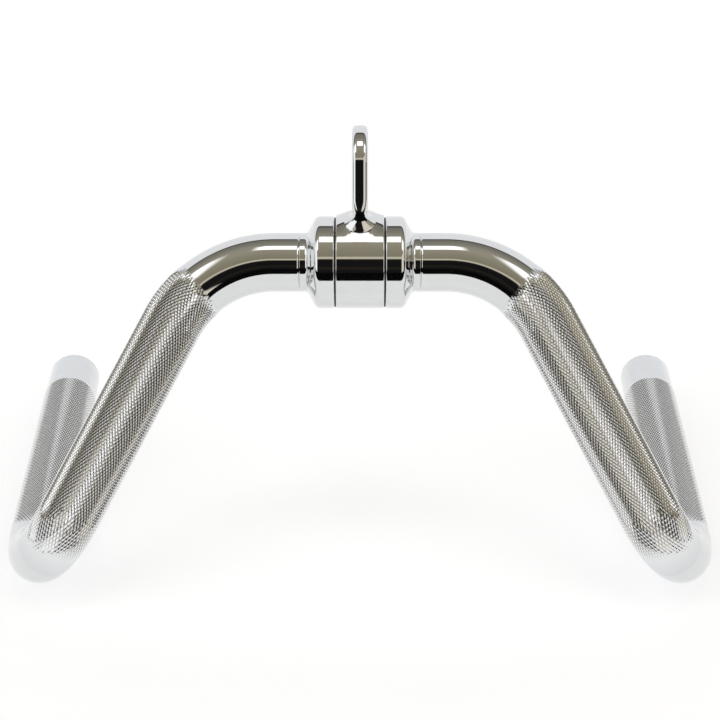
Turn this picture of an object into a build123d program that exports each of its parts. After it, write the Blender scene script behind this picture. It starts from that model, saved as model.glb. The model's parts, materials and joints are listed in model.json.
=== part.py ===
"""Multi-grip row bar with a revolving eye: bent, knurled arms on a turned spindle.

All sizes are in millimetres.  The bar axis runs along X, the handles run back along +Y and
+Z is up.  Everything is modelled about the middle of the bar, then the whole object is moved
so that it stands on Z = 0 with the origin under the middle of its outer box.
"""
import math
import os

from build123d import *

# ---------------------------------------------------------------- driving dimensions
# Arms: one bent tube on each side
tube_diameter = 32.0
knurl_rise = 0.6            # how far the knurled zones stand above the plain tube
bar_corner_x = 84.5         # from the middle of the bar to the corner of its first bend
elbow_x = 178.5             # sideways place of the elbow's corner
elbow_forward = 96.0        # how far the elbow's corner lies in front of the bar
drop = 152.5                # height of the bar axis above the handle axes
handle_length = 252.0       # from the elbow's corner to the outside of the end plug
handle_splay = 2.4          # degrees that each handle opens outwards
shoulder_radius = 63.0      # centre-line radius of the bend beside the bar
elbow_radius = 31.5         # centre-line radius of the bend at the floor
knurl_before_diagonal = 22.0    # knurled length that lies on the shoulder bend
knurl_into_elbow = 27.0         # knurled length that lies on the elbow bend
plain_end = 35.5                # plain length at the free end, with the plug's head

# End plugs
plug_head = 8.0
plug_round = 6.0
plug_spigot = 14.0

# Spindle, collars and grub screws
spindle_diameter = 20.0     # also the bore of the tubes and of the bearings
spindle_engagement = 13.0   # length of spindle inside each arm
collar_diameter = 50.0
collar_band = 10.0          # plain cylinder next to the sleeve
collar_taper = 4.8
collar_neck = 4.0
collar_edge = 0.5           # small chamfer on the band's outer edges
hub_diameter = 24.0         # boss of the collar that presses on the inner race
grub_diameter = 3.0
grub_socket = 1.5           # across flats of the hexagon socket
grub_point = 0.6            # chamfer at the screw's tip
grub_sunk = 0.4             # depth of the screw's head below the neck's surface
grub_bite = 0.4             # how far its tip reaches into the spindle
grub_angle = 205.0          # degrees from straight up, turning towards the front

# Swivel sleeve and dust seals
sleeve_diameter = 50.0
sleeve_width = 26.0
sleeve_edge = 0.5
seal_gap = 0.7              # visible gap between the sleeve and each collar
seal_thickness = 2.0
seal_inner_diameter = 40.0
seal_outer_diameter = 48.4
seal_clearance = 0.15       # between the seal and the turning sleeve
rib_inner_diameter = 33.0

# Ball bearings, 20 x 37 x 9
bearing_diameter = 37.0
bearing_width = 9.0
inner_shoulder_diameter = 25.2
outer_shoulder_diameter = 31.8
ball_diameter = 5.5
ball_count = 11
groove_clearance = 0.06
cage_width = 6.2
cage_inner_diameter = 26.8
cage_outer_diameter = 30.2
pocket_clearance = 0.12
shield_thickness = 0.4
shield_recess = 0.35        # depth of the shield's outer face below the race's face
shield_clearance = 0.3
shield_grip = 0.5           # how far the shield reaches into the outer race
bearing_recess = 0.2        # depth of each bearing below the sleeve's face

# Lifting eye: a hoop with two flared feet on an oval saddle
hoop_width = 8.8            # across the hoop, along the bar
hoop_depth = 9.0            # thickness of the hoop in its own plane
hoop_edge = 2.6
hoop_outer_radius = 20.6
hoop_centre_height = 53.3   # centre of the top arc above the bar axis
foot_angle = 30.0           # degrees from the hoop's middle line to each foot
foot_bend_radius = 9.0
foot_diameter = 16.8
foot_flare_radius = 3.9
foot_rim = 0.9
saddle_radius = 22.0        # crown of the saddle, turned off-centre
saddle_offset = 6.5
saddle_top_width = 9.0
saddle_fall = 3.0           # how much lower the saddle's sides are than its crown
eye_lean = 20.0             # degrees that the eye leans back at rest

# ---------------------------------------------------------------- worked-out sizes
tube_radius = tube_diameter / 2
spindle_radius = spindle_diameter / 2
knurl_radius = tube_radius + knurl_rise
collar_start = sleeve_width / 2 + seal_gap
collar_end = collar_start + collar_band + collar_taper + collar_neck
grub_length = tube_radius - grub_sunk + grub_bite - spindle_radius
bearing_outer_x = sleeve_width / 2 - bearing_recess
bearing_inner_x = bearing_outer_x - bearing_width
bearing_middle_x = (bearing_outer_x + bearing_inner_x) / 2
pitch_radius = (inner_shoulder_diameter + outer_shoulder_diameter) / 4
groove_radius = ball_diameter / 2 + groove_clearance
hoop_radius = hoop_outer_radius - hoop_depth / 2

X_DIRECTION = Vector(1, 0, 0)


# ---------------------------------------------------------------- helpers
def turned(*profile):
    """A solid turned about the bar axis from (x, radius) corners."""
    return revolve(make_face(Polyline(*profile, close=True)), Axis.X)


def tube_ring(x_start, x_end, inner_diameter, outer_diameter):
    """A plain ring about the bar axis."""
    inner, outer = inner_diameter / 2, outer_diameter / 2
    return turned((x_start, inner), (x_end, inner), (x_end, outer), (x_start, outer))


def mirrored(shape):
    """The same piece on the other side of the bar's middle."""
    return mirror(shape, about=Plane.YZ)


# ---------------------------------------------------------------- arms
def handle_direction():
    splay = math.radians(handle_splay)
    return Vector(math.sin(splay), math.cos(splay), 0)


def arm_route():
    """The right arm's centre line: bar, shoulder, diagonal, elbow and handle."""
    elbow = Vector(elbow_x, -elbow_forward, -drop)
    end = elbow + handle_direction() * (handle_length - plug_head)
    corners = [Vector(collar_end, 0, 0), Vector(bar_corner_x, 0, 0), elbow, end]
    return FilletPolyline(*corners, radius=[shoulder_radius, elbow_radius])


def place_on_route(edge):
    """Sorts the route's edges: each one's middle lies lower, and the handle's is the lowest."""
    return -edge.center().Z


def run_along(edge, start, end, radius):
    """A solid length along one edge of the route, from start to end as shares of it."""
    piece = edge.trim(start, end)
    return sweep(Plane(origin=piece @ 0, z_dir=piece % 0) * Circle(radius), path=piece)


def make_arm():
    """The right arm: one bent tube, with raised zones where it is knurled."""
    route = arm_route().edges().sort_by(place_on_route)
    bar, shoulder, diagonal, elbow, handle = route
    on_shoulder = 1 - knurl_before_diagonal / shoulder.length
    on_elbow = knurl_into_elbow / elbow.length
    on_handle = 1 - (plain_end - plug_head) / handle.length
    runs = [
        (bar, 0, 1, tube_radius),
        (shoulder, 0, on_shoulder, tube_radius),
        (shoulder, on_shoulder, 1, knurl_radius),
        (diagonal, 0, 1, knurl_radius),
        (elbow, 0, on_elbow, knurl_radius),
        (elbow, on_elbow, 1, tube_radius),
        (handle, 0, on_handle, knurl_radius),
        (handle, on_handle, 1, tube_radius),
    ]
    outside, *more_outside = [run_along(*run) for run in runs]
    bore, *more_bore = [run_along(edge, 0, 1, spindle_radius) for edge in route]
    return outside.fuse(*more_outside) - bore.fuse(*more_bore)


def make_end_plug():
    """A rounded cap whose spigot closes the free end of the right handle."""
    direction = handle_direction()
    tip = Vector(elbow_x, -elbow_forward, -drop) + direction * handle_length
    seat = Plane(origin=tip - direction * plug_head, x_dir=X_DIRECTION, z_dir=direction)
    head = extrude(Circle(tube_radius), plug_head)
    head = fillet(head.faces().sort_by(Axis.Z)[-1].edges(), plug_round)
    spigot = extrude(Circle(spindle_radius), -plug_spigot)
    return seat * (head + chamfer(spigot.faces().sort_by(Axis.Z)[0].edges(), 1))


# ---------------------------------------------------------------- spindle and collars
def make_spindle():
    half = collar_end + spindle_engagement
    rod = Plane.YZ.offset(-half) * extrude(Circle(spindle_radius), 2 * half)
    spindle = chamfer(rod.edges().filter_by(GeomType.CIRCLE), 1)
    return spindle - make_grub_hole() - mirrored(make_grub_hole())


def grub_plane():
    """Seat of the right grub screw: on the neck's surface, pointing out of it."""
    angle = math.radians(grub_angle)
    outward = Vector(0, -math.sin(angle), math.cos(angle))
    neck_middle = collar_end - collar_neck / 2
    return Plane(origin=X_DIRECTION * neck_middle + outward * tube_radius,
                 x_dir=X_DIRECTION, z_dir=outward)


def make_grub_hole():
    above = 1
    depth = above + grub_sunk + grub_length
    return grub_plane() * Pos(0, 0, above) * extrude(Circle(grub_diameter / 2), -depth)


def make_grub_screw():
    """The right grub screw, with a hexagon socket and a pointed end."""
    screw = extrude(Circle(grub_diameter / 2), -grub_length)
    screw = chamfer(screw.faces().sort_by(Axis.Z)[0].edges(), grub_point)
    socket = extrude(RegularPolygon(grub_socket / math.sqrt(3), 6), -grub_length / 2)
    return grub_plane() * Pos(0, 0, -grub_sunk) * (screw - socket)


def make_collar():
    """The right collar: a band, a taper down to the neck, and a hub towards the bearing."""
    outer, neck, bore = collar_diameter / 2, tube_radius, spindle_radius
    band_end = collar_start + collar_band
    taper_end = band_end + collar_taper
    body = turned(
        (bearing_outer_x, bore), (collar_end, bore), (collar_end, neck), (taper_end, neck),
        (band_end, outer), (collar_start + collar_edge, outer),
        (collar_start, outer - collar_edge), (collar_start, hub_diameter / 2),
        (bearing_outer_x, hub_diameter / 2))
    groove_depth = seal_thickness - (seal_gap - seal_clearance)
    groove = tube_ring(collar_start - 1, collar_start + groove_depth,
                       seal_inner_diameter, seal_outer_diameter)
    return body - groove - make_grub_hole()


def make_dust_seal():
    start = sleeve_width / 2 + seal_clearance
    return tube_ring(start, start + seal_thickness, seal_inner_diameter, seal_outer_diameter)


# ---------------------------------------------------------------- bearings
def make_groove():
    """The space that the ball track takes out of both races of the right bearing."""
    return Pos(bearing_middle_x, 0, 0) * Rot(0, 90, 0) * Torus(pitch_radius, groove_radius)


def make_inner_race():
    ring = tube_ring(bearing_inner_x, bearing_outer_x, spindle_diameter, inner_shoulder_diameter)
    return ring - make_groove()


def make_outer_race():
    ring = tube_ring(bearing_inner_x, bearing_outer_x, outer_shoulder_diameter, bearing_diameter)
    return ring - make_groove() - make_shields()


def make_shields():
    """Two thin rings held in the outer race, one at each face of the right bearing."""
    inner = inner_shoulder_diameter + 2 * shield_clearance
    outer = outer_shoulder_diameter + 2 * shield_grip
    near = bearing_inner_x + shield_recess
    far = bearing_outer_x - shield_recess - shield_thickness
    return Compound([tube_ring(x, x + shield_thickness, inner, outer) for x in (near, far)])


def ball_places():
    step = 360 / ball_count
    return [Pos(bearing_middle_x, 0, 0) * Rot(step * index, 0, 0) * Pos(0, 0, pitch_radius)
            for index in range(ball_count)]


def make_balls():
    return Compound([place * Sphere(ball_diameter / 2) for place in ball_places()])


def make_cage():
    half = cage_width / 2
    ring = tube_ring(bearing_middle_x - half, bearing_middle_x + half,
                     cage_inner_diameter, cage_outer_diameter)
    pocket = Sphere(ball_diameter / 2 + pocket_clearance)
    return ring.cut(*[place * pocket for place in ball_places()])


# ---------------------------------------------------------------- swivel
def leaned(shape):
    """Turns a piece of the swivel back about the bar axis to its place at rest."""
    return Rot(-eye_lean, 0, 0) * shape


def make_saddle():
    """The crown that carries the eye's feet: turned about an axis above the bar axis."""
    half, top_half = sleeve_width / 2, saddle_top_width / 2
    side = saddle_radius - saddle_fall
    crown = turned((-half, 0), (half, 0), (half, side), (top_half, saddle_radius),
                   (-top_half, saddle_radius), (-half, side))
    return Pos(0, 0, saddle_offset) * crown


def make_sleeve_blank():
    """The sleeve's outer shape, before it is bored."""
    half, outer = sleeve_width / 2, sleeve_diameter / 2
    body = turned((-half, 0), (half, 0), (half, outer - sleeve_edge), (half - sleeve_edge, outer),
                  (sleeve_edge - half, outer), (-half, outer - sleeve_edge))
    return body + make_saddle()


def make_sleeve():
    rib_half = bearing_inner_x
    seat = tube_ring(rib_half, sleeve_width, 0, bearing_diameter)
    bore = tube_ring(-sleeve_width, sleeve_width, 0, rib_inner_diameter)
    return leaned(make_sleeve_blank() - bore - seat - mirrored(seat))


def hoop_route():
    """Half of the hoop's centre line in the YZ plane, from one foot to the top."""
    angle = math.radians(foot_angle)
    knee = Vector(0, hoop_radius, hoop_radius / math.tan(angle))
    shoulder = Vector(0, hoop_radius, hoop_centre_height)
    leg = FilletPolyline(Vector(0, 0, 0), knee, shoulder, radius=foot_bend_radius)
    top = ThreePointArc(
        shoulder,
        Vector(0, hoop_radius * math.sin(math.pi / 4),
               hoop_centre_height + hoop_radius * math.cos(math.pi / 4)),
        Vector(0, 0, hoop_centre_height + hoop_radius))
    return [*leg.edges().sort_by(lambda edge: edge.center().Z), top.edge()]


def make_foot():
    """A trumpet-shaped foot, turned about the line from the bar axis through the foot."""
    neck = foot_diameter / 2 - foot_flare_radius
    rim_top = saddle_top_radius() + foot_rim
    flare_top = rim_top + foot_flare_radius
    rim = foot_diameter / 2
    outline = (Polyline((0, 0), (0, flare_top), (neck, flare_top))
               + RadiusArc((neck, flare_top), (rim, rim_top), foot_flare_radius)
               + Polyline((rim, rim_top), (rim, 0), (0, 0)))
    face = make_face(outline)
    return Rot(-foot_angle, 0, 0) * Rot(90, 0, 0) * revolve(face, Axis.Y)


def saddle_top_radius():
    """Distance from the bar axis to the saddle's crown, measured along a foot's axis."""
    along = saddle_offset * math.cos(math.radians(foot_angle))
    across = saddle_offset * math.sin(math.radians(foot_angle))
    return along + math.sqrt(saddle_radius ** 2 - across ** 2)


def make_eye():
    """The hoop and its two feet, cut to the sleeve that they are welded to."""
    section = RectangleRounded(hoop_width, hoop_depth, hoop_edge)
    runs = []
    for edge in hoop_route():
        seat = Plane(origin=edge @ 0, x_dir=X_DIRECTION, z_dir=edge % 0)
        runs.append(sweep(seat * section, path=edge))
    half = runs[0].fuse(*runs[1:], make_foot())
    eye = half + mirror(half, about=Plane.XZ)
    return leaned(eye - make_sleeve_blank())


# ---------------------------------------------------------------- the whole object
def build():
    """Every piece by name, with the bar axis through the origin."""
    sided = {
        "arm": make_arm(),
        "end_plug": make_end_plug(),
        "collar": make_collar(),
        "grub_screw": make_grub_screw(),
        "dust_seal": make_dust_seal(),
        "inner_race": make_inner_race(),
        "outer_race": make_outer_race(),
        "bearing_shields": make_shields(),
        "bearing_balls": make_balls(),
        "ball_cage": make_cage(),
    }
    pieces = {
        "spindle": make_spindle(),
        "bearing_spacer": tube_ring(-bearing_inner_x, bearing_inner_x,
                                    spindle_diameter, hub_diameter),
        "swivel_sleeve": make_sleeve(),
        "lifting_eye": make_eye(),
    }
    for name, shape in sided.items():
        pieces["right_" + name] = shape
        pieces["left_" + name] = mirrored(shape)
    return pieces


def main():
    os.makedirs("parts", exist_ok=True)
    pieces = build()
    box = pieces["right_arm"].bounding_box().add(pieces["right_end_plug"].bounding_box())
    middle_y = (box.min.Y + box.max.Y) / 2
    stand = Pos(0, -middle_y, drop + knurl_radius)
    for name, shape in pieces.items():
        export_step(stand * shape, os.path.join("parts", name + ".step"))
    print("bar axis at y", round(-middle_y, 3), "z", drop + knurl_radius)


if __name__ == "__main__":
    main()
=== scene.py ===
# %% [markdown]
# # A chrome row bar with a revolving eye
# The bar is two bent steel tubes, knurled where hands hold them and plated with chrome, joined by
# a turned spindle.  A sleeve with a lifting eye turns on that spindle.  The CAD frame already
# holds every part at its real size and place, so this lesson only dresses it: finer meshes over
# the plain CAD shapes, real finishes, and a studio for the chrome to reflect.
# We load the frame first, because every size and place below comes from it.

# %% Load the frame
import json
import math

import bmesh
import bpy
import numpy as np
from mathutils import Matrix, Vector


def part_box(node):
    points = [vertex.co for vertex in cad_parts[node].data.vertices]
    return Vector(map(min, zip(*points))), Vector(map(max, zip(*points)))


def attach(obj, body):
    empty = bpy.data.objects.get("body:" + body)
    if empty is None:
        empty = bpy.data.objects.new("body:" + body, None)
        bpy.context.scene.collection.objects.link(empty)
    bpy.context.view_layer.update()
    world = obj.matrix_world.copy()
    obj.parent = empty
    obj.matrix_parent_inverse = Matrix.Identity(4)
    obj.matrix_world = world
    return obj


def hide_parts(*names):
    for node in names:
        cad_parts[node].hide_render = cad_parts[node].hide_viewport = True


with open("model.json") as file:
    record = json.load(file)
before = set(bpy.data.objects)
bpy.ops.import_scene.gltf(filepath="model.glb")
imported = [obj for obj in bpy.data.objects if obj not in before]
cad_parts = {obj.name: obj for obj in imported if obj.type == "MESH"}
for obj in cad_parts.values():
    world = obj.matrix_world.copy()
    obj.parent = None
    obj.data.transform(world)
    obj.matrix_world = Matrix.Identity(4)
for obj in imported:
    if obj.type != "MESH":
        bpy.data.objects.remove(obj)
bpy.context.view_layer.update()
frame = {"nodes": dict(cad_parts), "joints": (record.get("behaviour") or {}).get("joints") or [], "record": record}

nodes = frame["nodes"]
print("CAD nodes:", len(nodes))

# %% [markdown]
# ## Sizes that come from the frame
# A mesh that replaces a CAD part has to lie where that part lies.  The swivel's joint gives the
# bar's axis, the right handle's mount gives the handle's line, its knurled length and its radius,
# and the boxes of the turned parts give theirs.  We only add what the frame can't tell, such as
# bend radii, as named values in millimetres.  Four places depart from the plain CAD shape on
# purpose, to look as the real bar does: the knurl's two ends on each diagonal, the saddle's
# flanks, and the rims of the eye's feet.

# %% Read the bar's axis and the handle's line
MM = 0.001
joints = {joint["name"]: joint for joint in frame["joints"]}
mounts = {mount["name"]: mount for mount in frame["record"]["mounts"]}
bar_axis = Vector(joints["swivel_spin"]["pos_m"])
grip = mounts["right_handle_grip"]
grip_middle = Vector(grip["pos_m"])
handle_heading = Vector(grip["axis"]).normalized()
grip_length = grip["dims"]["length_mm"] * MM
crest_radius = grip["dims"]["r_mm"] * MM
plug_low, plug_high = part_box("right_end_plug")
tube_radius = (plug_high.z - plug_low.z) / 2
print(f"bar axis at y {bar_axis.y * 1000:.2f}, z {bar_axis.z * 1000:.2f} mm")
print(f"tube {tube_radius * 2000:.1f} mm, over the knurl {crest_radius * 2000:.1f} mm")

# %% [markdown]
# ## One helper that makes a skin from rings
# Tubes, turned parts and the swept hoop are all the same kind of surface: a row of rings, each
# joined to the next.  Writing the rings as points gives full control over where edges fall, which
# a primitive with modifiers doesn't.  Mirrored pieces reuse the same rings.

# %% A skin through rings of points
def skin(name, rings, closed=False):
    """A mesh object through rings of points.  It is capped at both ends, or closed in a loop."""
    rings = np.asarray(rings, float)
    count, around = rings.shape[:2]
    faces = []
    for i in range(count if closed else count - 1):
        here, there = i * around, (i + 1) % count * around
        for j in range(around):
            k = (j + 1) % around
            faces.append((here + j, here + k, there + k, there + j))
    if not closed:
        last = (count - 1) * around
        faces.append(tuple(range(around)))
        faces.append(tuple(range(last, last + around)))
    return piece(name, rings.reshape(-1, 3), faces)


def piece(name, points, faces):
    """A mesh object with its faces turned outwards, in the scene."""
    mesh = bpy.data.meshes.new(name)
    mesh.from_pydata([tuple(point) for point in points], [], faces)
    work = bmesh.new()
    work.from_mesh(mesh)
    bmesh.ops.recalc_face_normals(work, faces=work.faces)
    work.to_mesh(mesh)
    work.free()
    thing = bpy.data.objects.new(name, mesh)
    bpy.context.scene.collection.objects.link(thing)
    return thing


def smooth_with_edges(thing, degrees=35):
    """Smooth shading, with a crisp edge wherever two faces meet at more than this angle."""
    thing.data.shade_smooth()
    thing.data.set_sharp_from_angle(angle=math.radians(degrees))


def mirrored(points):
    """The same points on the other side of the bar's middle."""
    return np.asarray(points) * (-1, 1, 1)


# %% [markdown]
# ## An outline with rounded corners
# Turned parts have no perfectly sharp edges: the tool leaves a small radius and polishing softens
# it further.  On chrome that radius matters more than anything else, because it is what catches
# the thin bright line along each edge.  So an outline is a list of corners, each with its own
# radius, and this helper turns every corner into a short arc.

# %% Round the corners of an outline
def rounded(corners, steps=8):
    """Points of a closed outline, from (along, out, radius) corners."""
    outline = []
    for i, (along, out, radius) in enumerate(corners):
        corner = Vector((along, out))
        back = (Vector(corners[i - 1][:2]) - corner).normalized()
        ahead = (Vector(corners[(i + 1) % len(corners)][:2]) - corner).normalized()
        if radius == 0:
            outline.append(corner)
            continue
        half = back.angle(ahead) / 2
        centre = corner + (back + ahead).normalized() * radius / math.sin(half)
        first = corner + back * radius / math.tan(half) - centre
        last = corner + ahead * radius / math.tan(half) - centre
        sweep = first.angle_signed(last)
        for step in range(steps + 1):
            spoke = first.copy()
            spoke.rotate(Matrix.Rotation(-sweep * step / steps, 2))
            outline.append(centre + spoke)
    return outline


def turned(name, outline, side=1, around=144):
    """A ring-shaped part turned about the bar's axis, on the right side or, with -1, the left."""
    angles = np.linspace(0, 2 * math.pi, around, endpoint=False)
    rings = [[(side * x * MM,
               bar_axis.y + out * MM * math.sin(angle),
               bar_axis.z + out * MM * math.cos(angle)) for angle in angles]
             for x, out in outline]
    return skin(name, rings, closed=True)


print("a 1 mm corner becomes", len(rounded([(0, 0, 1), (9, 0, 1), (9, 9, 1)])) // 3, "points")

# %% [markdown]
# ## Colours and nodes
# Finishes are picked as sRGB hex values, as on a paint card, but light adds up in linear values,
# so one function converts.  A second small function adds a node, fills in its settings and makes
# its links, which keeps each material short enough to read.

# %% Colour and node helpers
def linear(hex_colour, alpha=1.0):
    """An sRGB hex colour as linear RGBA."""
    values = [int(hex_colour[i:i + 2], 16) / 255 for i in (1, 3, 5)]
    return [v / 12.92 if v <= 0.04045 else ((v + 0.055) / 1.055) ** 2.4 for v in values] + [alpha]


def add(tree, kind, settings=None, **inputs):
    """A node with its settings.  An input is a value, or the output socket that feeds it.

    An input goes by its name, or by its number after an underscore: _0 is the first.
    """
    node = tree.nodes.new(kind)
    for key, value in (settings or {}).items():
        setattr(node, key, value)
    for key, value in inputs.items():
        socket = node.inputs[int(key[1:])] if key[1:].isdigit() else node.inputs[key.replace("_", " ")]
        if isinstance(value, bpy.types.NodeSocket):
            tree.links.new(value, socket)
        else:
            socket.default_value = value
    return node


def per_metre(millimetres):
    """The texture scale that makes a pattern repeat about every so many millimetres."""
    return 1 / (millimetres * MM)


def new_material(name):
    """An empty material, its tree, its shader and its object coordinates."""
    material = bpy.data.materials.new(name)
    material.use_nodes = True
    tree = material.node_tree
    tree.nodes.clear()
    shader = add(tree, "ShaderNodeBsdfPrincipled")
    add(tree, "ShaderNodeOutputMaterial", Surface=shader.outputs[0])
    place = add(tree, "ShaderNodeTexCoord").outputs["Object"]
    return material, tree, shader, place


print("mid grey #808080 is", round(linear("#808080")[0], 3), "in linear light")

# %% [markdown]
# ## Polished chrome plate
# Bright steel, buffed, plated with nickel and then a thin layer of chrome: a nearly perfect
# mirror with a faint blue cast, that sends back about two thirds of the light.  Its shape is
# never quite true, so reflected edges waver a little over a few centimetres, and the buffing
# mop leaves a very fine haze that comes and goes.  It is a metal, so its IOR stays as it is.

# %% Polished chrome plate
PLATE_WAVE = 26.0        # mm between swells that the buffing left in the steel
PLATE_SWELL = 0.012      # mm, height of those swells
HAZE_SPOT = 7.0          # mm across one patch of haze

polished_chrome, tree, shader, place = new_material("polished_chrome_plate")
haze = add(tree, "ShaderNodeTexNoise", Vector=place, Scale=per_metre(HAZE_SPOT), Detail=4.0)
cast = add(tree, "ShaderNodeMix", {"data_type": "RGBA"}, _0=haze.outputs["Fac"],
           _6=linear("#D6D8D9"), _7=linear("#DCDDDE"))
gloss = add(tree, "ShaderNodeMapRange", Value=haze.outputs["Fac"], To_Min=0.025, To_Max=0.075)
swell = add(tree, "ShaderNodeTexNoise", Vector=place, Scale=per_metre(PLATE_WAVE), Detail=1.0)
wavy = add(tree, "ShaderNodeBump", Height=swell.outputs["Fac"], Strength=1.0,
           Distance=PLATE_SWELL * MM)
shader.inputs["Metallic"].default_value = 1.0
tree.links.new(cast.outputs[2], shader.inputs["Base Color"])
tree.links.new(gloss.outputs[0], shader.inputs["Roughness"])
tree.links.new(wavy.outputs[0], shader.inputs["Normal"])
print("polished chrome: swells", PLATE_SWELL, "mm high every", PLATE_WAVE, "mm")

# %% [markdown]
# ## Knurled chrome
# The same plate over teeth that a knurling wheel pressed into the tube.  The grooves are painted
# darker than the tips, a painted shade for the recesses between the teeth.  The tips catch the
# buffing mop, so they are the brightest metal on the bar.  The teeth themselves are real geometry.
# Each vertex carries how deep it lies in its groove, and how fully the knurl is pressed there, so
# the colour and its painted groove shade follow the teeth and fade out with them.

# %% Knurled chrome
GRAIN = 0.35             # mm, the fine grain that pressing leaves on a tooth's flanks

knurled_chrome, tree, shader, place = new_material("knurled_chrome_plate")
groove = add(tree, "ShaderNodeAttribute", {"attribute_name": "groove"})
flank = add(tree, "ShaderNodeMapRange", {"interpolation_type": "SMOOTHSTEP"},
            Value=groove.outputs["Fac"], From_Min=0.45, From_Max=1.0)
pressed = add(tree, "ShaderNodeAttribute", {"attribute_name": "pressed"})
tips = add(tree, "ShaderNodeMix", {"data_type": "RGBA"}, _0=pressed.outputs["Fac"],
           _6=linear("#D4D7D9"), _7=linear("#EDEEEF"))
# painted shade: where the groove value is high the colour is mixed towards a dark warm grey
knurl_colour_with_painted_groove_shade = add(tree, "ShaderNodeMix", {"data_type": "RGBA"}, _0=flank.outputs[0],
           _6=tips.outputs[2], _7=linear("#93918D"))
grain = add(tree, "ShaderNodeTexNoise", Vector=place, Scale=per_metre(GRAIN), Detail=2.0)
dull = add(tree, "ShaderNodeMapRange", Value=grain.outputs["Fac"], To_Min=0.09, To_Max=0.19)
shader.inputs["Metallic"].default_value = 1.0
tree.links.new(knurl_colour_with_painted_groove_shade.outputs[2], shader.inputs["Base Color"])
tree.links.new(dull.outputs[0], shader.inputs["Roughness"])
print("knurled chrome: grain", GRAIN, "mm")

# %% [markdown]
# ## The steels inside, and the rubber seals
# Behind the seals sit two ball bearings.  Bearing rings are hardened steel, ground and left
# bright: fine rings run round the axis.  The ball cage is pressed from thin strip, so it is
# flatter and greyer.  The spindle and spacer are plain turned steel with coarser tool marks.
# One function makes all of these, because they differ only in colour, polish and mark spacing.

# %% Bare steels with tool marks round the axis
def bare_steel(name, dark, light, mark_spacing, roughest):
    """Machined steel: fine rings about the bar's axis, from the tool that cut or ground it."""
    material, tree, shader, place = new_material(name)
    # the wave repeats every 2 pi mark spacings, because the 20 only undoes the node's own factor
    marks = add(tree, "ShaderNodeTexWave", {"bands_direction": "X"}, Vector=place,
                Scale=per_metre(mark_spacing) / 20, Distortion=1.5, Detail=3.0)
    colour = add(tree, "ShaderNodeMix", {"data_type": "RGBA"}, _0=marks.outputs["Fac"],
                 _6=linear(dark), _7=linear(light))
    polish = add(tree, "ShaderNodeMapRange", Value=marks.outputs["Fac"],
                 To_Min=roughest * 0.6, To_Max=roughest)
    shader.inputs["Metallic"].default_value = 1.0
    tree.links.new(colour.outputs[2], shader.inputs["Base Color"])
    tree.links.new(polish.outputs[0], shader.inputs["Roughness"])
    return material


ground_steel = bare_steel("ground_bearing_steel", "#B4B6B8", "#C9CACC", 0.4, 0.16)
pressed_steel = bare_steel("pressed_strip_steel", "#8E8F90", "#A3A4A5", 2.5, 0.38)
turned_steel = bare_steel("turned_steel", "#95979A", "#B1B3B5", 0.8, 0.30)
print("bare steels:", ground_steel.name, pressed_steel.name, turned_steel.name)

# %% [markdown]
# ## Black oxide and nitrile rubber
# The grub screws are hardened steel from a hot oxide bath, which leaves a dark, slightly blotchy
# skin.  The dust seals are moulded nitrile rubber with a fine matt pebble.  Both are dark and
# uneven, so they share one function.  The seals show as the two fine black lines beside the
# sleeve.

# %% Black oxide screws and nitrile rubber seals
OXIDE_PATCH = 1.5        # mm, blotches where the oxide bath took unevenly
RUBBER_PEBBLE = 0.5      # mm, the matt texture of the mould


def dark_skin(name, colour, paler, pattern, roughness, metallic):
    """A dark finish with an uneven matt surface."""
    material, tree, shader, place = new_material(name)
    spots = add(tree, "ShaderNodeTexNoise", Vector=place, Scale=per_metre(pattern), Detail=5.0)
    blend = add(tree, "ShaderNodeMix", {"data_type": "RGBA"}, _0=spots.outputs["Fac"],
                _6=linear(colour), _7=linear(paler))
    bumps = add(tree, "ShaderNodeBump", Height=spots.outputs["Fac"], Strength=0.4,
                Distance=pattern * MM / 20)
    shader.inputs["Metallic"].default_value = metallic
    shader.inputs["Roughness"].default_value = roughness
    tree.links.new(blend.outputs[2], shader.inputs["Base Color"])
    tree.links.new(bumps.outputs[0], shader.inputs["Normal"])
    return material


black_oxide = dark_skin("black_oxide_steel", "#232427", "#34363A", OXIDE_PATCH, 0.38, 1.0)
nitrile = dark_skin("nitrile_rubber", "#0B0B0C", "#151516", RUBBER_PEBBLE, 0.62, 0.0)
print("dark finishes:", black_oxide.name, nitrile.name)

# %% [markdown]
# ## Dress the CAD parts that stay
# The bearings, spindle, spacer, screws and seals are already exactly the right shape in CAD.
# Nothing is remodelled: each one just gets its finish in its own material slots.

# %% Finishes for the parts that stay
finish_of = {
    "inner_race": ground_steel, "outer_race": ground_steel, "bearing_balls": ground_steel,
    "bearing_shields": pressed_steel, "ball_cage": pressed_steel, "grub_screw": black_oxide,
    "dust_seal": nitrile, "spindle": turned_steel, "bearing_spacer": turned_steel,
}
dressed = 0
for name, node in nodes.items():
    for ending, finish in finish_of.items():
        if name.endswith(ending):
            node.data.materials.clear()
            node.data.materials.append(finish)
            dressed += 1
print("CAD parts dressed:", dressed)

# %% [markdown]
# ## The arm's route
# Each arm is one tube bent twice: at the shoulder beside the bar, and at the elbow on the floor.
# We walk the centre line as straights and bends, and carry a sideways arrow along.  In a bend the
# arrow turns with the tube and never twists about it, just as the metal does, so the knurl stays
# in line all the way.

# %% Walk the arm's centre line
BAR_CORNER = 84.5 * MM          # from the bar's middle to the corner of the shoulder
ELBOW_FORWARD = 96.0 * MM       # how far the elbow's corner lies in front of the bar
SHOULDER_RADIUS = 63.0 * MM
ELBOW_RADIUS = 31.5 * MM

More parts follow.
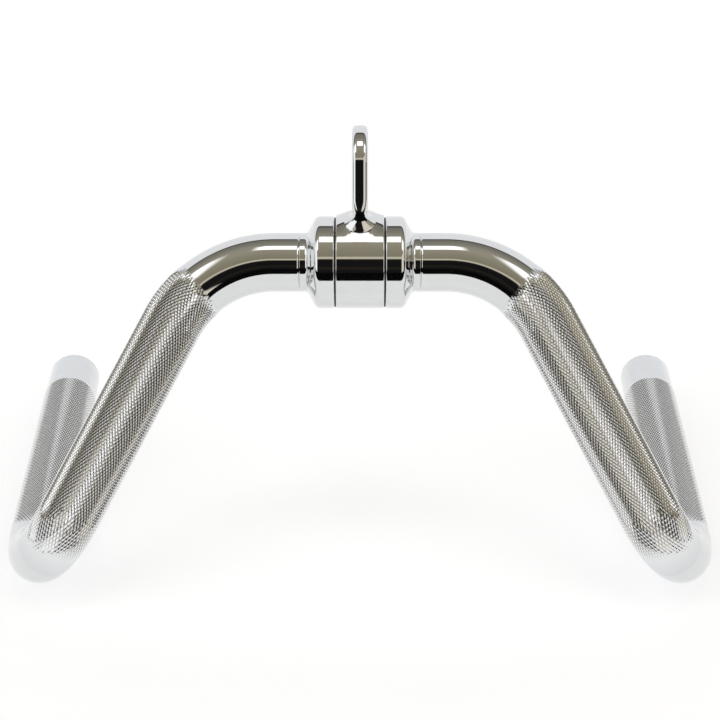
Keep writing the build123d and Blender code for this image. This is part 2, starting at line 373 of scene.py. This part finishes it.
collar_low, collar_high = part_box("right_collar")
route_start = Vector((collar_high.x, bar_axis.y, bar_axis.z))
shoulder_corner = Vector((BAR_CORNER, bar_axis.y, bar_axis.z))
to_elbow = (grip_middle.y - (bar_axis.y - ELBOW_FORWARD)) / handle_heading.y
elbow_corner = grip_middle - handle_heading * to_elbow
PLUG_HEAD = 8.0 * MM
HANDLE_LENGTH = 252.0 * MM       # from the elbow's corner to the tip of the plug
tube_end = elbow_corner + handle_heading * (HANDLE_LENGTH - PLUG_HEAD)


def walk(corners, radii):
    """Straights and bends through the corners: dicts with a start, heading, side and length."""
    legs = []
    place, side = corners[0], Vector((0, 0, 1))
    heading = (corners[1] - corners[0]).normalized()
    for i, radius in enumerate(radii + [0]):
        last = i == len(radii)
        onward = heading if last else (corners[i + 2] - corners[i + 1]).normalized()
        turn = heading.angle(onward)
        stop = corners[i + 1] - heading * radius * math.tan(turn / 2)
        length = (stop - place).length
        legs.append({"start": place, "heading": heading, "side": side, "length": length, "turn": 0})
        place = stop
        if last:
            return legs
        axis = heading.cross(onward).normalized()
        legs.append({"start": place, "heading": heading, "side": side, "length": radius * turn,
                     "turn": turn, "axis": axis, "centre": place + axis.cross(heading) * radius})
        spin = Matrix.Rotation(turn, 3, axis)
        place = legs[-1]["centre"] + spin @ (place - legs[-1]["centre"])
        heading, side = onward, spin @ side


legs = walk([route_start, shoulder_corner, elbow_corner, tube_end],
            [SHOULDER_RADIUS, ELBOW_RADIUS])
bar_leg, shoulder_leg, diagonal_leg, elbow_leg = [leg["length"] for leg in legs[:-1]]
route_length = sum(leg["length"] for leg in legs)
print("straights and bends in mm:", [round(leg["length"] / MM, 1) for leg in legs])


# %% [markdown]
# ## Rings anywhere along the route
# With the straights and bends known, any distance along the tube gives a point on the centre line
# and two arrows across it.  A ring of points round that place then needs only its radii.

# %% Stand anywhere on the route
def stand_at(distance):
    """The point on the centre line, and the two arrows across the tube there."""
    for leg in legs:
        if distance <= leg["length"] or leg is legs[-1]:
            break
        distance -= leg["length"]
    if leg["turn"]:
        spin = Matrix.Rotation(leg["turn"] * distance / leg["length"], 3, leg["axis"])
        point = leg["centre"] + spin @ (leg["start"] - leg["centre"])
        heading, side = spin @ leg["heading"], spin @ leg["side"]
    else:
        point, heading, side = leg["start"] + leg["heading"] * distance, leg["heading"], leg["side"]
    return point, side, heading.cross(side)


def tube_ring(distance, radii):
    """One ring of points round the tube, a radius for each."""
    point, side, across = (np.array(v) for v in stand_at(distance))
    angles = np.linspace(0, 2 * math.pi, len(radii), endpoint=False)[:, None]
    return point + np.asarray(radii)[:, None] * (np.cos(angles) * side + np.sin(angles) * across)


print("the handle ends at", [round(value / MM, 1) for value in stand_at(route_length)[0]])

# %% [markdown]
# ## The knurl
# A diamond knurl is two sets of V grooves that cross.  Look at it as a grid: the points where
# grooves cross are low, the points between them are the tips of four-sided teeth, and low and
# high points alternate like the squares of a chessboard.  So one grid of rings, with every other
# point raised, is the whole pattern.  A bump map would be lighter, but it can't give the broken
# outline that knurling has against the light, and the chrome would not sparkle from tooth to
# tooth.  The grooves run 30 degrees off the tube's length, 1.5 mm apart.

# %% Where the tube is knurled
TEETH_AROUND = 60
TOOTH_LENGTH = 3.04 * MM        # along the tube, tip to tip
VALLEY_RISE = 0.16 * MM         # how far pressing lifted even the grooves above the plain tube
KNURL_INTO_SHOULDER = 27.0 * MM # the CAD's plain step lies 5 mm further along the route
KNURL_INTO_ELBOW = 30.0 * MM    # and its other step 3 mm sooner
knurl_start = bar_leg + shoulder_leg - KNURL_INTO_SHOULDER
knurl_stop = bar_leg + shoulder_leg + diagonal_leg + KNURL_INTO_ELBOW
handle_begins = bar_leg + shoulder_leg + diagonal_leg + elbow_leg
grip_from_elbow = to_elbow + grip_length / 2
handle_knurl_stop = route_length - (HANDLE_LENGTH - PLUG_HEAD - grip_from_elbow)
FADE_SHOULDER, FADE_ELBOW, FADE_HANDLE = 8 * MM, 22 * MM, 8 * MM
FAINTEST = 0.03                 # shallower teeth than this are left out


def ease(value, start, stop):
    """0 before start, 1 after stop, and a soft step between."""
    share = min(max((value - start) / (stop - start), 0), 1)
    return share * share * (3 - 2 * share)


def tooth_height(distance):
    """How fully the knurl is pressed at this place on the route, from 0 to 1."""
    diagonal = (ease(distance, knurl_start, knurl_start + FADE_SHOULDER)
                * (1 - ease(distance, knurl_stop - FADE_ELBOW, knurl_stop)))
    handle = (ease(distance, handle_begins - FADE_HANDLE, handle_begins + FADE_HANDLE)
              * (distance < handle_knurl_stop))
    height = max(diagonal, handle)
    return height if height > FAINTEST else 0


print("knurl on the diagonal:", round((knurl_stop - knurl_start) / MM, 1), "mm,",
      "on the handle:", round((handle_knurl_stop - handle_begins) / MM, 1), "mm")

# %% [markdown]
# ## The two arms
# Where the knurl stops, the same grid lies flat and is shaded smooth, so the tooth rows run out
# into the plain tube without a seam.  Teeth are shaded flat, because pressed flanks are flat.
# The tube is hollow, so a plain inner wall closes the mesh at both ends.

# %% Build an arm
COLUMNS = 2 * TEETH_AROUND
BORE_RADIUS = 10.0 * MM
BORE_STEP = 6.0 * MM


def arm_grid():
    """Rings, groove depths and tooth heights of the arm's outside."""
    rows = round(route_length / (TOOTH_LENGTH / 2))    # two rows to a tooth
    rings, grooves, heights = [], [], []
    for row in range(rows + 1):
        distance = route_length * row / rows
        height = tooth_height(distance)
        tips = (np.arange(COLUMNS) + row) % 2
        radii = tube_radius + height * np.where(tips, crest_radius - tube_radius, VALLEY_RISE)
        rings.append(tube_ring(distance, radii))
        # 1 at the bottom of a groove: the knurled chrome paints these points darker, as painted shade
        grooves.append((1 - tips) * height)
        heights.append(height)
    return rings, grooves, heights


def arm_faces(heights):
    """Flat cells are one face.  A knurled cell is two, split along the groove that crosses it."""
    faces, knurled = [], []
    for row in range(len(heights) - 1):
        teeth = heights[row] > 0 or heights[row + 1] > 0
        for column in range(COLUMNS):
            onward = (column + 1) % COLUMNS
            a, b = row * COLUMNS + column, row * COLUMNS + onward
            c, d = (row + 1) * COLUMNS + onward, (row + 1) * COLUMNS + column
            if not teeth:
                faces.append((a, b, c, d))
            elif (row + column) % 2 == 0:
                faces += [(a, b, c), (a, c, d)]
            else:
                faces += [(a, b, d), (b, c, d)]
            knurled += [teeth] * (2 if teeth else 1)
    return faces, knurled


def bore_faces(outer_rows, bore_rows):
    """The inner wall, and the ring of faces at each end that joins it to the outside."""
    inner = outer_rows * COLUMNS
    pairs = [(inner + row * COLUMNS, inner + (row + 1) * COLUMNS) for row in range(bore_rows - 1)]
    pairs += [(0, inner), ((outer_rows - 1) * COLUMNS, inner + (bore_rows - 1) * COLUMNS)]
    return [(low + j, low + (j + 1) % COLUMNS, high + (j + 1) % COLUMNS, high + j)
            for low, high in pairs for j in range(COLUMNS)]


rings, grooves, heights = arm_grid()
bore_steps = round(route_length / BORE_STEP)
bore = [tube_ring(route_length * step / bore_steps, [BORE_RADIUS] * COLUMNS)
        for step in range(bore_steps + 1)]
outer_faces, knurled = arm_faces(heights)
inner_faces = bore_faces(len(rings), len(bore))
arm_points = np.array(rings + bore).reshape(-1, 3)
plain = np.zeros(len(bore) * COLUMNS)
knurl_values = {"groove": np.concatenate([np.ravel(grooves), plain]),
                "pressed": np.concatenate([np.repeat(heights, COLUMNS), plain])}

for side, points in (("right", arm_points), ("left", mirrored(arm_points))):
    arm = piece(side + "_arm_knurled", points, outer_faces + inner_faces)
    arm.data.materials.append(polished_chrome)
    arm.data.materials.append(knurled_chrome)
    flat = np.array(knurled + [False] * len(inner_faces))
    arm.data.polygons.foreach_set("use_smooth", ~flat)
    arm.data.polygons.foreach_set("material_index", flat.astype(np.int32))
    for label, values in knurl_values.items():
        arm.data.attributes.new(label, "FLOAT", "POINT").data.foreach_set("value", values)
    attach(arm, "bar")
    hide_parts(side + "_arm")
print("one arm:", len(arm_points), "points,", len(outer_faces + inner_faces), "faces")

# %% [markdown]
# ## End plugs
# A turned cap closes each handle.  Its rim has a generous radius, so from behind it is a soft
# disc of light.  It is turned about the handle's line, and its spigot hides in the tube.

# %% Turn the end plugs
PLUG_ROUND = 6.0 * MM
SPIGOT = 14.0 * MM
plug_outline = rounded([
    (-SPIGOT, 0, 0), (-SPIGOT, BORE_RADIUS, 1 * MM), (0, BORE_RADIUS, 0), (0, tube_radius, 0.15 * MM),
    (PLUG_HEAD, tube_radius, PLUG_ROUND), (PLUG_HEAD, 0, 0)], steps=14)[1:-1]
end_point, end_side, end_across = (np.array(v) for v in stand_at(route_length))
round_angles = np.linspace(0, 2 * math.pi, 96, endpoint=False)[:, None]
plug_rings = [end_point + along * np.array(handle_heading)
              + out * (np.cos(round_angles) * end_side + np.sin(round_angles) * end_across)
              for along, out in plug_outline]
for side, rings in (("right", plug_rings), ("left", mirrored(plug_rings))):
    plug = skin(side + "_plug_turned", rings)
    smooth_with_edges(plug)
    plug.data.materials.append(polished_chrome)
    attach(plug, "bar")
    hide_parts(side + "_end_plug")
print("plug outline:", len(plug_outline), "points")

# %% [markdown]
# ## Collars
# Each collar is one turned ring: a band the size of the sleeve, a taper with a well-rounded
# shoulder, and a short neck that meets the tube in a hairline.  The inner face has the groove
# that holds the dust seal and the hub that presses on the bearing.  The screw hole is cut last.

# %% Turn the collars
sleeve_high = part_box("swivel_sleeve")[1]
seal_low, seal_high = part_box("right_dust_seal")
SLEEVE_HALF = sleeve_high.x / MM
SEAL_GAP = 0.7
COLLAR_RADIUS = (collar_high.z - collar_low.z) / 2 / MM
band_start = SLEEVE_HALF + SEAL_GAP
COLLAR_BAND, COLLAR_TAPER = 10.0, 4.8
band_end = band_start + COLLAR_BAND
taper_end = band_end + COLLAR_TAPER
neck_end = collar_high.x / MM
neck_radius = tube_radius / MM
hub_start, hub_radius, hub_bore = collar_low.x / MM, 12.0, 10.0
seal_inner, seal_outer = 20.0, (seal_high.z - seal_low.z) / 2 / MM
seal_end = seal_high.x / MM
# a corner is its place along the axis, its distance from the axis, and its own rounding
collar_outline = rounded([
    (band_start, COLLAR_RADIUS, 0.7), (band_end, COLLAR_RADIUS, 3.6),
    (taper_end, neck_radius, 2.2), (neck_end, neck_radius, 0.3), (neck_end, hub_bore, 0),
    (hub_start, hub_bore, 0), (hub_start, hub_radius, 0), (band_start, hub_radius, 0),
    (band_start, seal_inner, 0), (seal_end, seal_inner, 0),
    (seal_end, seal_outer, 0), (band_start, seal_outer, 0)])


SCREW_CUT = 16.0 * MM           # length of the cutter, long enough to pass the collar's wall


def screw_hole(side):
    """A round cutter that stands where the collar's grub screw goes in."""
    low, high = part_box(side + "_grub_screw")
    middle = (low + high) / 2
    outward = Vector((0, middle.y - bar_axis.y, middle.z - bar_axis.z)).normalized()
    bpy.ops.mesh.primitive_cylinder_add(
        vertices=48, radius=(high.x - low.x) / 2, depth=SCREW_CUT,
        location=middle, rotation=outward.to_track_quat("Z", "Y").to_euler())
    return bpy.context.object


def cut(thing, cutter):
    """Takes the cutter's shape out of a piece, for good."""
    step = thing.modifiers.new("hole", "BOOLEAN")
    step.operation, step.object, step.solver = "DIFFERENCE", cutter, "EXACT"
    finished = bpy.data.meshes.new_from_object(thing.evaluated_get(
        bpy.context.evaluated_depsgraph_get()))
    thing.modifiers.clear()
    thing.data = finished
    bpy.data.objects.remove(cutter)


for side, sign in (("right", 1), ("left", -1)):
    collar = turned(side + "_collar_turned", collar_outline, sign)
    cut(collar, screw_hole(side))
    smooth_with_edges(collar)
    collar.data.materials.clear()
    collar.data.materials.append(polished_chrome)
    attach(collar, "bar")
    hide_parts(side + "_collar")
print("collar outline:", len(collar_outline), "points, faces with the hole:",
      len(collar.data.polygons))

# %% [markdown]
# ## The swivel sleeve
# The sleeve is a plain cylinder with an oval saddle on its crown, where the eye is welded.  On
# the real part both were turned and then blended on a belt, so there is no line between them.
# As a height field round the axis that is easy: at each place take the larger of the cylinder
# and the saddle, with a soft step where one takes over from the other.

# %% The saddle, and the larger of two heights
eye_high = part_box("lifting_eye")[1]
LEAN = math.radians(20)         # the eye rests leaning back
SLEEVE_RADIUS = 25.0
SADDLE_RADIUS, SADDLE_OFFSET = 20.5, 8.0        # tighter than the CAD's, with the same top
SADDLE_FLAT, SADDLE_FALL = 4.5, 3.0
SADDLE_EASE = 1.5               # how far the fall's soft start and end reach past its corners
BLEND = 1.6                     # mm over which the belt blended saddle and cylinder


def soft_larger(a, b, reach):
    """The larger of two heights, rounded where they cross."""
    share = min(max(0.5 + (a - b) / (2 * reach), 0), 1)
    return b + (a - b) * share + reach * share * (1 - share)


def sleeve_height(x, angle):
    """The sleeve's outer radius at this place along the axis and angle from the eye."""
    fall = SADDLE_FALL * ease(abs(x), SADDLE_FLAT - SADDLE_EASE, SLEEVE_HALF + SADDLE_EASE)
    ball = SADDLE_RADIUS - fall
    across = SADDLE_OFFSET * math.sin(angle)
    saddle = SADDLE_OFFSET * math.cos(angle) + math.sqrt(ball ** 2 - across ** 2)
    return soft_larger(saddle, SLEEVE_RADIUS, BLEND)


print("sleeve height under the eye:", round(sleeve_height(0, 0), 2), "mm, at its side:",
      round(sleeve_height(0, math.pi / 2), 2), "mm")

# %% [markdown]
# ## The sleeve's skin
# The outline runs along the outside, over both rounded rims, and back through the bore, with the
# rib between the bearing seats.  The rims have a small radius, as turned edges do.

# %% Skin the sleeve
EDGE = 0.6
RIM_STEPS, FACE_STEPS = 6, 26
rim = [(SLEEVE_HALF - EDGE + EDGE * math.sin(t), EDGE * (1 - math.cos(t)))
       for t in np.linspace(0, math.pi / 2, RIM_STEPS)]
face = [(x, 0.0) for x in np.linspace(EDGE - SLEEVE_HALF, SLEEVE_HALF - EDGE, FACE_STEPS)]
outside = [(-x, drop) for x, drop in rim[:0:-1]] + face + rim[1:]
SEAT_RADIUS, RIB_RADIUS, RIB_HALF = 18.5, 16.5, 3.8
inside = [(SLEEVE_HALF, SEAT_RADIUS), (RIB_HALF, SEAT_RADIUS), (RIB_HALF, RIB_RADIUS),
          (-RIB_HALF, RIB_RADIUS), (-RIB_HALF, SEAT_RADIUS), (-SLEEVE_HALF, SEAT_RADIUS)]
sleeve_angles = np.linspace(0, 2 * math.pi, 180, endpoint=False)


def on_swivel(x, height, angle):
    """A point of the swivel at rest: angle is counted from the eye, which leans back."""
    turn = angle + LEAN
    return (x * MM, bar_axis.y + height * MM * math.sin(turn),
            bar_axis.z + height * MM * math.cos(turn))


rings = [[on_swivel(x, sleeve_height(x, angle) - drop, angle) for angle in sleeve_angles]
         for x, drop in outside]
rings += [[on_swivel(x, height, angle) for angle in sleeve_angles] for x, height in inside]
sleeve = skin("sleeve_polished", rings, closed=True)
smooth_with_edges(sleeve)
sleeve.data.materials.append(polished_chrome)
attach(sleeve, "swivel")
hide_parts("swivel_sleeve")
print("sleeve:", len(sleeve.data.vertices), "points")

# %% [markdown]
# ## The lifting eye
# The eye is a bar of rounded square section, forged into a hoop, with each end flared like a
# trumpet where it meets the saddle.  It is one sweep: the centre line is known as a formula, and
# so is the section's size along it.  The section is a superellipse, because its exponent slides
# from a circle in the foot to a soft square in the hoop with no seam.

# %% The hoop's centre line and section
HOOP_RADIUS = 16.1              # centre line of the top arc
HOOP_CENTRE = 53.3              # height of that arc's centre above the bar's axis
HOOP_WIDE, HOOP_DEEP = 4.4, 4.48         # half sizes of the section
FOOT_ANGLE = math.radians(30)
KNEE_RADIUS = 9.0
FOOT_RIM, FLARE = 8.4, 3.9              # radius of the foot, and of its trumpet
SQUARE, ROUND = 3.3, 2.0                # superellipse exponents
SQUARING = 7.0                          # length over which the circle turns into the soft square
FOOT_SEAT = 27.4                        # from the bar's axis to the saddle under a foot
rim_top = FOOT_SEAT + 0.9
flare_top = rim_top + FLARE
knee_distance = HOOP_RADIUS / math.sin(FOOT_ANGLE)
knee_tangent = KNEE_RADIUS * math.tan(FOOT_ANGLE / 2)
bend_start = knee_distance - knee_tangent
bend_end = bend_start + KNEE_RADIUS * FOOT_ANGLE
leg_top = bend_end + HOOP_CENTRE - HOOP_RADIUS / math.tan(FOOT_ANGLE) - knee_tangent
half_length = leg_top + HOOP_RADIUS * math.pi / 2


def hoop_point(distance):
    """Place (back, up) and heading of the centre line, counted from the bar's axis."""
    if distance < bend_start:
        return (distance * math.sin(FOOT_ANGLE), distance * math.cos(FOOT_ANGLE)), FOOT_ANGLE
    if distance < bend_end:
        heading = FOOT_ANGLE - (distance - bend_start) / KNEE_RADIUS
        back, up = hoop_point(bend_start - 1e-9)[0]
        return (back + KNEE_RADIUS * (math.cos(heading) - math.cos(FOOT_ANGLE)),
                up + KNEE_RADIUS * (math.sin(FOOT_ANGLE) - math.sin(heading))), heading
    if distance < leg_top:
        return (HOOP_RADIUS, HOOP_CENTRE - (leg_top - distance)), 0.0
    turn = (distance - leg_top) / HOOP_RADIUS
    return (HOOP_RADIUS * math.cos(turn), HOOP_CENTRE + HOOP_RADIUS * math.sin(turn)), -turn


def hoop_section(distance, angle):
    """The section's radius in this direction: a flared circle in the foot, square in the hoop."""
    if distance < rim_top:
        return FOOT_RIM
    if distance < flare_top:
        return FOOT_RIM - math.sqrt(FLARE ** 2 - (flare_top - distance) ** 2)
    power = ROUND + (SQUARE - ROUND) * ease(distance, flare_top, flare_top + SQUARING)
    wide, deep = abs(math.cos(angle)) / HOOP_WIDE, abs(math.sin(angle)) / HOOP_DEEP
    return (wide ** power + deep ** power) ** (-1 / power)


print("hoop: half of its centre line is", round(half_length, 1), "mm")

# %% [markdown]
# ## Sweeping the eye
# The sweep goes up one leg and down the other, so both feet are the same shape.  Where a weld
# meets a curved saddle its rim follows the curve, so each trumpet sinks towards its rim by as
# much as the saddle falls away there.

# %% Sweep the eye
AROUND = 96
# the foot's end is hidden just inside the sleeve, below its rim
foot_steps = [FOOT_SEAT - 1.2, rim_top - 0.5, rim_top - 1e-6]
flare_steps = [flare_top - FLARE * math.sin(t) for t in np.linspace(math.pi / 2 - 0.12, 0, 16)]
hoop_steps = list(np.linspace(flare_top, half_length, 90)[1:])
stations = foot_steps + flare_steps + hoop_steps
section_angles = np.linspace(0, 2 * math.pi, AROUND, endpoint=False)


def saddle_drop(x, out):
    """How far the saddle falls away under this point of a foot, along the foot's own line."""
    depth = FOOT_SEAT
    for _ in range(4):
        height = sleeve_height(x, FOOT_ANGLE + math.atan2(out, depth))
        depth = math.sqrt(height ** 2 - out ** 2)
    return FOOT_SEAT - depth


def eye_ring(distance, backwards):
    """A ring across the hoop, on its back half or, mirrored, its front half."""
    (back, up), heading = hoop_point(distance)
    ring = []
    for angle in section_angles:
        reach = hoop_section(distance, angle)
        x, out = reach * math.cos(angle), reach * math.sin(angle)
        y, z = back + out * math.cos(heading), up - out * math.sin(heading)
        if distance < flare_top:    # the nearer the rim, the more the trumpet follows the saddle
            sink = saddle_drop(x, out) * min((reach - HOOP_WIDE) / (FOOT_RIM - HOOP_WIDE), 1)
            y, z = y - sink * math.sin(heading), z - sink * math.cos(heading)
        y = y if backwards else -y
        ring.append(on_swivel(x, math.hypot(y, z), math.atan2(y, z)))
    return ring


rings = [eye_ring(distance, True) for distance in stations]
rings += [eye_ring(distance, False) for distance in stations[-2::-1]]
eye = skin("eye_forged", rings)
smooth_with_edges(eye, 40)
eye.data.materials.append(polished_chrome)
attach(eye, "swivel")
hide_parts("lifting_eye")
eye_height = max(vertex.co.z for vertex in eye.data.vertices)
print(f"eye: top at {eye_height / MM:.1f} mm, CAD top at {eye_high.z / MM:.1f} mm")

# %% [markdown]
# ## The floor
# White paper on a light table.  A little over a third of its brightness comes from the studio
# and the rest is its own glow, so that shadows stay faint and the chrome has a clean white to
# reflect.

# %% Lay the floor
FLOOR_REACH = 6.0               # metres to each side
PAPER_GLOW = 0.62
floor = piece("floor_paper", [(-FLOOR_REACH, -FLOOR_REACH, 0), (FLOOR_REACH, -FLOOR_REACH, 0),
                              (FLOOR_REACH, FLOOR_REACH, 0), (-FLOOR_REACH, FLOOR_REACH, 0)],
              [(0, 1, 2, 3)])
paper, tree, shader, place = new_material("white_paper")
tooth = add(tree, "ShaderNodeTexNoise", Vector=place, Scale=per_metre(60), Detail=2.0)
white = add(tree, "ShaderNodeMix", {"data_type": "RGBA"}, _0=tooth.outputs["Fac"],
            _6=linear("#C6C7C9"), _7=linear("#CACBCD"))
tree.links.new(white.outputs[2], shader.inputs["Base Color"])
shader.inputs["Roughness"].default_value = 1.0
shader.inputs["Specular IOR Level"].default_value = 0.0
shader.inputs["Emission Color"].default_value = linear("#FEFEFF")
shader.inputs["Emission Strength"].default_value = PAPER_GLOW
floor.data.materials.append(paper)
print("floor:", 2 * FLOOR_REACH, "m square")

# %% [markdown]
# ## The studio that the chrome sees
# Chrome has almost no colour of its own: it shows the room.  So the room is what we design.
# Along an arc from the front, over the top, to the back, the bands are: a dark room in front, a
# thin champagne line where its wall begins, the warm wall, a grey ceiling, a thin dark gap and a
# pale back wall.  Painting them into the world by direction keeps them out of every view, and nothing
# stands in the way of the object.

# %% Paint the bands of the room
BANDS = [                        # degrees up from the front horizon, colour
    (-180, "#FFFFFF"), (-60, "#FFFFFF"), (-24, "#000000"), (-22, "#151518"), (4, "#18181A"),
    (10, "#2D2820"), (15, "#18181A"), (32, "#1C1A17"), (34, "#E4DCC6"), (37, "#D8CFB8"),
    (39, "#928B76"), (56, "#9A937F"), (75, "#A8A18D"), (92, "#A39D8E"), (106, "#8D897D"),
    (121, "#807C72"), (123, "#24221E"), (126, "#2E2C27"), (128, "#FFFFFF"), (180, "#FAFCFF"),
]
world = bpy.data.worlds.new("studio")
world.use_nodes = True
bpy.context.scene.world = world
tree = world.node_tree
tree.nodes.clear()
aim = add(tree, "ShaderNodeTexCoord").outputs["Generated"]
parts = add(tree, "ShaderNodeSeparateXYZ", Vector=aim)
forward = add(tree, "ShaderNodeMath", {"operation": "MULTIPLY"}, _0=parts.outputs["Y"], _1=-1.0)
climb = add(tree, "ShaderNodeMath", {"operation": "ARCTAN2"},
            _0=parts.outputs["Z"], _1=forward.outputs[0])
share = add(tree, "ShaderNodeMapRange", Value=climb.outputs[0],
            From_Min=-math.pi, From_Max=math.pi)
bands = add(tree, "ShaderNodeValToRGB", Fac=share.outputs[0])
while len(bands.color_ramp.elements) < len(BANDS):
    bands.color_ramp.elements.new(0.5)
for element, (degrees, colour) in zip(bands.color_ramp.elements, BANDS):
    element.position = (degrees + 180) / 360
    element.color = linear(colour)
print("bands:", len(BANDS))

# %% [markdown]
# ## The lamp, the cards at the sides, and what the camera sees
# The lamp is a short strip overhead: it crosses the sleeve as one white line, and runs out on the
# bar before the bend.  Two upright cards, a white one on the left and a cream one on the right,
# put the vertical stripes on the hoop.  Two ceiling panels light the flanks of the teeth.  The
# camera itself sees plain white, not the room.

# %% Lamp, side cards and the plain background
def window(value, low, high, soft=0.03):
    """1 where the value lies between low and high, 0 outside, with a soft edge."""
    rising = add(tree, "ShaderNodeMapRange", Value=value, From_Min=low - soft, From_Max=low + soft)
    falling = add(tree, "ShaderNodeMapRange", Value=value, From_Min=high - soft,
                  From_Max=high + soft, To_Min=1.0, To_Max=0.0)
    return add(tree, "ShaderNodeMath", {"operation": "MULTIPLY"},
               _0=rising.outputs[0], _1=falling.outputs[0]).outputs[0]


def both(first, second):
    """The product of two masks."""
    return add(tree, "ShaderNodeMath", {"operation": "MULTIPLY"}, _0=first, _1=second).outputs[0]


LAMP_FROM, LAMP_TO, LAMP_REACH = math.radians(77), math.radians(90), 0.12
LAMP_BRIGHTNESS = 3.4
upright = both(window(parts.outputs["Z"], -0.25, 0.62), window(parts.outputs["Y"], -1.2, 0.15))
panel_height = window(climb.outputs[0], math.radians(58), math.radians(86), 0.06)
lights = [   # mask, colour and brightness
    (both(window(climb.outputs[0], LAMP_FROM, LAMP_TO),
          window(parts.outputs["X"], -LAMP_REACH, LAMP_REACH, 0.05)), "#FFFFFF", LAMP_BRIGHTNESS),
    (both(window(parts.outputs["X"], -0.95, -0.6), upright), "#FFFFFF", 1.3),
    (both(window(parts.outputs["X"], 0.3, 0.82), upright), "#F0E8D6", 1.0),
    (both(panel_height, window(parts.outputs["X"], 0.36, 0.70, 0.06)), "#FFFFFF", 1.9),
    (both(panel_height, window(parts.outputs["X"], -0.70, -0.36, 0.06)), "#FFFFFF", 1.9),
]
room = bands.outputs["Color"]
for mask, colour, brightness in lights:
    glow = [value * brightness for value in linear(colour)[:3]] + [1]
    room = add(tree, "ShaderNodeMix", {"data_type": "RGBA"}, _0=mask,
               _6=room, _7=glow).outputs[2]
lit = add(tree, "ShaderNodeBackground", Color=room, Strength=1.0)
plain = add(tree, "ShaderNodeBackground", Color=linear("#FCFCFC"), Strength=1.0)
ray = add(tree, "ShaderNodeLightPath")
seen = add(tree, "ShaderNodeMixShader", _0=ray.outputs["Is Camera Ray"],
           _1=lit.outputs[0], _2=plain.outputs[0])
add(tree, "ShaderNodeOutputWorld", Surface=seen.outputs[0])
print("lights in the room:", len(lights))

# %% [markdown]
# ## The front edge of the table
# The lit table ends a little way in front of the bar, and past it the room is dark.  That dark
# edge is what draws the hard line between black and light grey low on the sleeve.  A black card
# lies where the table ends, and only reflections can see it, so other views keep a clean floor.

# %% A black card that only the chrome sees
TABLE_FRONT = -0.47             # metres, where the lit table ends
black_card = piece("table_front_card", [
    (-FLOOR_REACH, -FLOOR_REACH, 0.001), (FLOOR_REACH, -FLOOR_REACH, 0.001),
    (FLOOR_REACH, TABLE_FRONT, 0.001), (-FLOOR_REACH, TABLE_FRONT, 0.001)], [(0, 1, 2, 3)])
felt, tree, shader, place = new_material("black_felt")
shader.inputs["Base Color"].default_value = linear("#0A0A0A")
shader.inputs["Roughness"].default_value = 1.0
shader.inputs["Specular IOR Level"].default_value = 0.0
black_card.data.materials.append(felt)
black_card.visible_camera = False
black_card.visible_diffuse = False
black_card.visible_shadow = False
print("the lit table ends at y", TABLE_FRONT, "m")

# %% [markdown]
# ## The camera
# A long lens at a little under one metre, looking down at 28 degrees: high enough to see the
# floor between the arms, low enough that the eye stands up against a clear background.

# %% Set the camera
LOOK_DOWN = math.radians(28.0)
DISTANCE_BACK, CAMERA_HEIGHT = 0.8715, 0.5554
lens = bpy.data.cameras.new("camera")
lens.lens, lens.sensor_width = 85.0, 36.0
camera = bpy.data.objects.new("camera", lens)
bpy.context.scene.collection.objects.link(camera)
camera.location = (0, -DISTANCE_BACK, CAMERA_HEIGHT)
camera.rotation_euler = (math.pi / 2 - LOOK_DOWN, 0, 0)
bpy.context.scene.camera = camera
bpy.context.scene.view_settings.view_transform = "Standard"
print("camera:", [round(value, 3) for value in camera.location], "lens", lens.lens, "mm")
